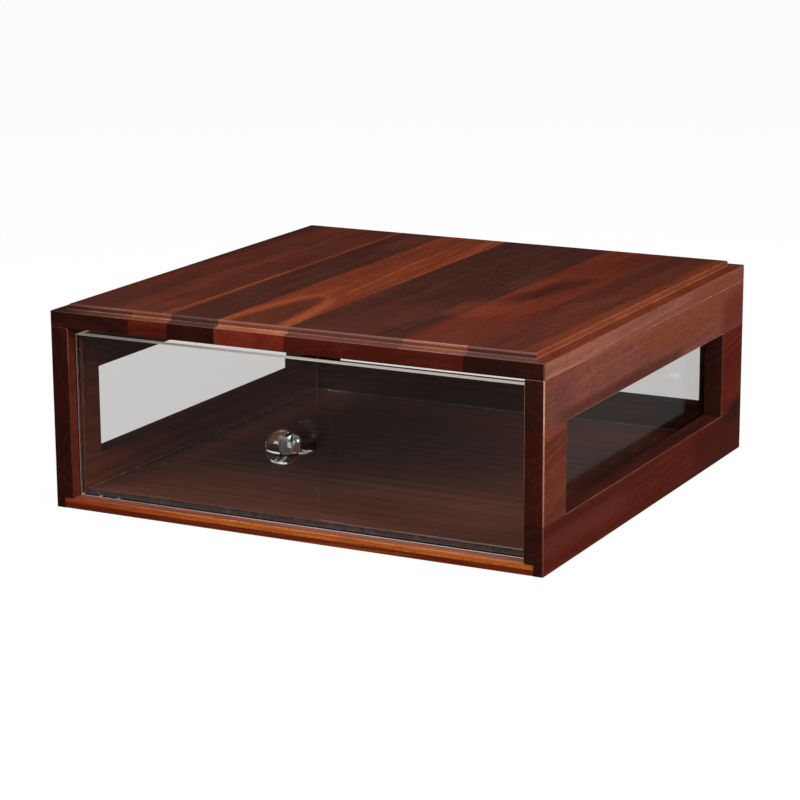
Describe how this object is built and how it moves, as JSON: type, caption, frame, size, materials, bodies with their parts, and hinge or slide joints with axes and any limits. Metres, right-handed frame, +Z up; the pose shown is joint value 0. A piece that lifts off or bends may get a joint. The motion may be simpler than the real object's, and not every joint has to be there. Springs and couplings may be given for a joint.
{
  "type": "countertop bread display bin",
  "caption": "Low wooden case with an open front and windowed sides and back, holding a clear acrylic drawer with a ball knob.",
  "frame": {"origin": "middle of the case's underside, where it rests on a counter", "axes": "+Z up, -Y towards the person who pulls the drawer out, +X to that person's right"},
  "size_m": [0.445, 0.4551, 0.173],
  "materials": {
    "wood_red": "satin",
    "wood_brown": "satin",
    "wood_dark": "satin",
    "wood_figured": "satin",
    "beech_dowel": "matte",
    "clear_acrylic": "gloss",
    "bright_steel": "satin"
  },
  "bodies": {
    "case": {"top_stave_1": "wood_red", "top_stave_2": "wood_red", "top_stave_3": "wood_dark", "top_stave_4": "wood_figured", "top_stave_5": "wood_dark", "top_stave_6": "wood_brown", "top_stave_7": "wood_red", "right_lower_rail": "wood_red", "right_front_stile": "wood_brown", "right_rear_stile": "wood_brown", "right_upper_rail": "wood_red", "left_lower_rail": "wood_red", "left_front_stile": "wood_brown", "left_rear_stile": "wood_brown", "left_upper_rail": "wood_red", "back_lower_rail": "wood_dark", "back_right_stile": "wood_dark", "back_left_stile": "wood_dark", "back_upper_rail": "wood_dark", "bottom_board": "wood_brown", "right_top_dowel_1": "beech_dowel", "right_top_dowel_2": "beech_dowel", "right_top_dowel_3": "beech_dowel", "left_top_dowel_1": "beech_dowel", "left_top_dowel_2": "beech_dowel", "left_top_dowel_3": "beech_dowel", "back_top_dowel_1": "beech_dowel", "back_top_dowel_2": "beech_dowel", "back_top_dowel_3": "beech_dowel", "right_back_dowel_1": "beech_dowel", "right_back_dowel_2": "beech_dowel", "right_back_dowel_3": "beech_dowel", "left_back_dowel_1": "beech_dowel", "left_back_dowel_2": "beech_dowel", "left_back_dowel_3": "beech_dowel", "bottom_screw_1": "bright_steel", "bottom_screw_2": "bright_steel", "bottom_screw_3": "bright_steel", "bottom_screw_4": "bright_steel", "bottom_screw_5": "bright_steel", "bottom_screw_6": "bright_steel", "bottom_screw_7": "bright_steel", "bottom_screw_8": "bright_steel"},
    "drawer": {"drawer_front": "clear_acrylic", "drawer_right_wall": "clear_acrylic", "drawer_left_wall": "clear_acrylic", "drawer_back_wall": "clear_acrylic", "drawer_floor": "clear_acrylic", "knob_ball": "clear_acrylic", "knob_insert": "bright_steel", "knob_washer": "bright_steel", "knob_screw": "bright_steel"}
  },
  "joints": [
    {"name": "drawer_slide", "type": "slide", "parent": "case", "child": "drawer", "axis": [0, -1, 0], "range_m": [0, 0.35]}
  ]
}
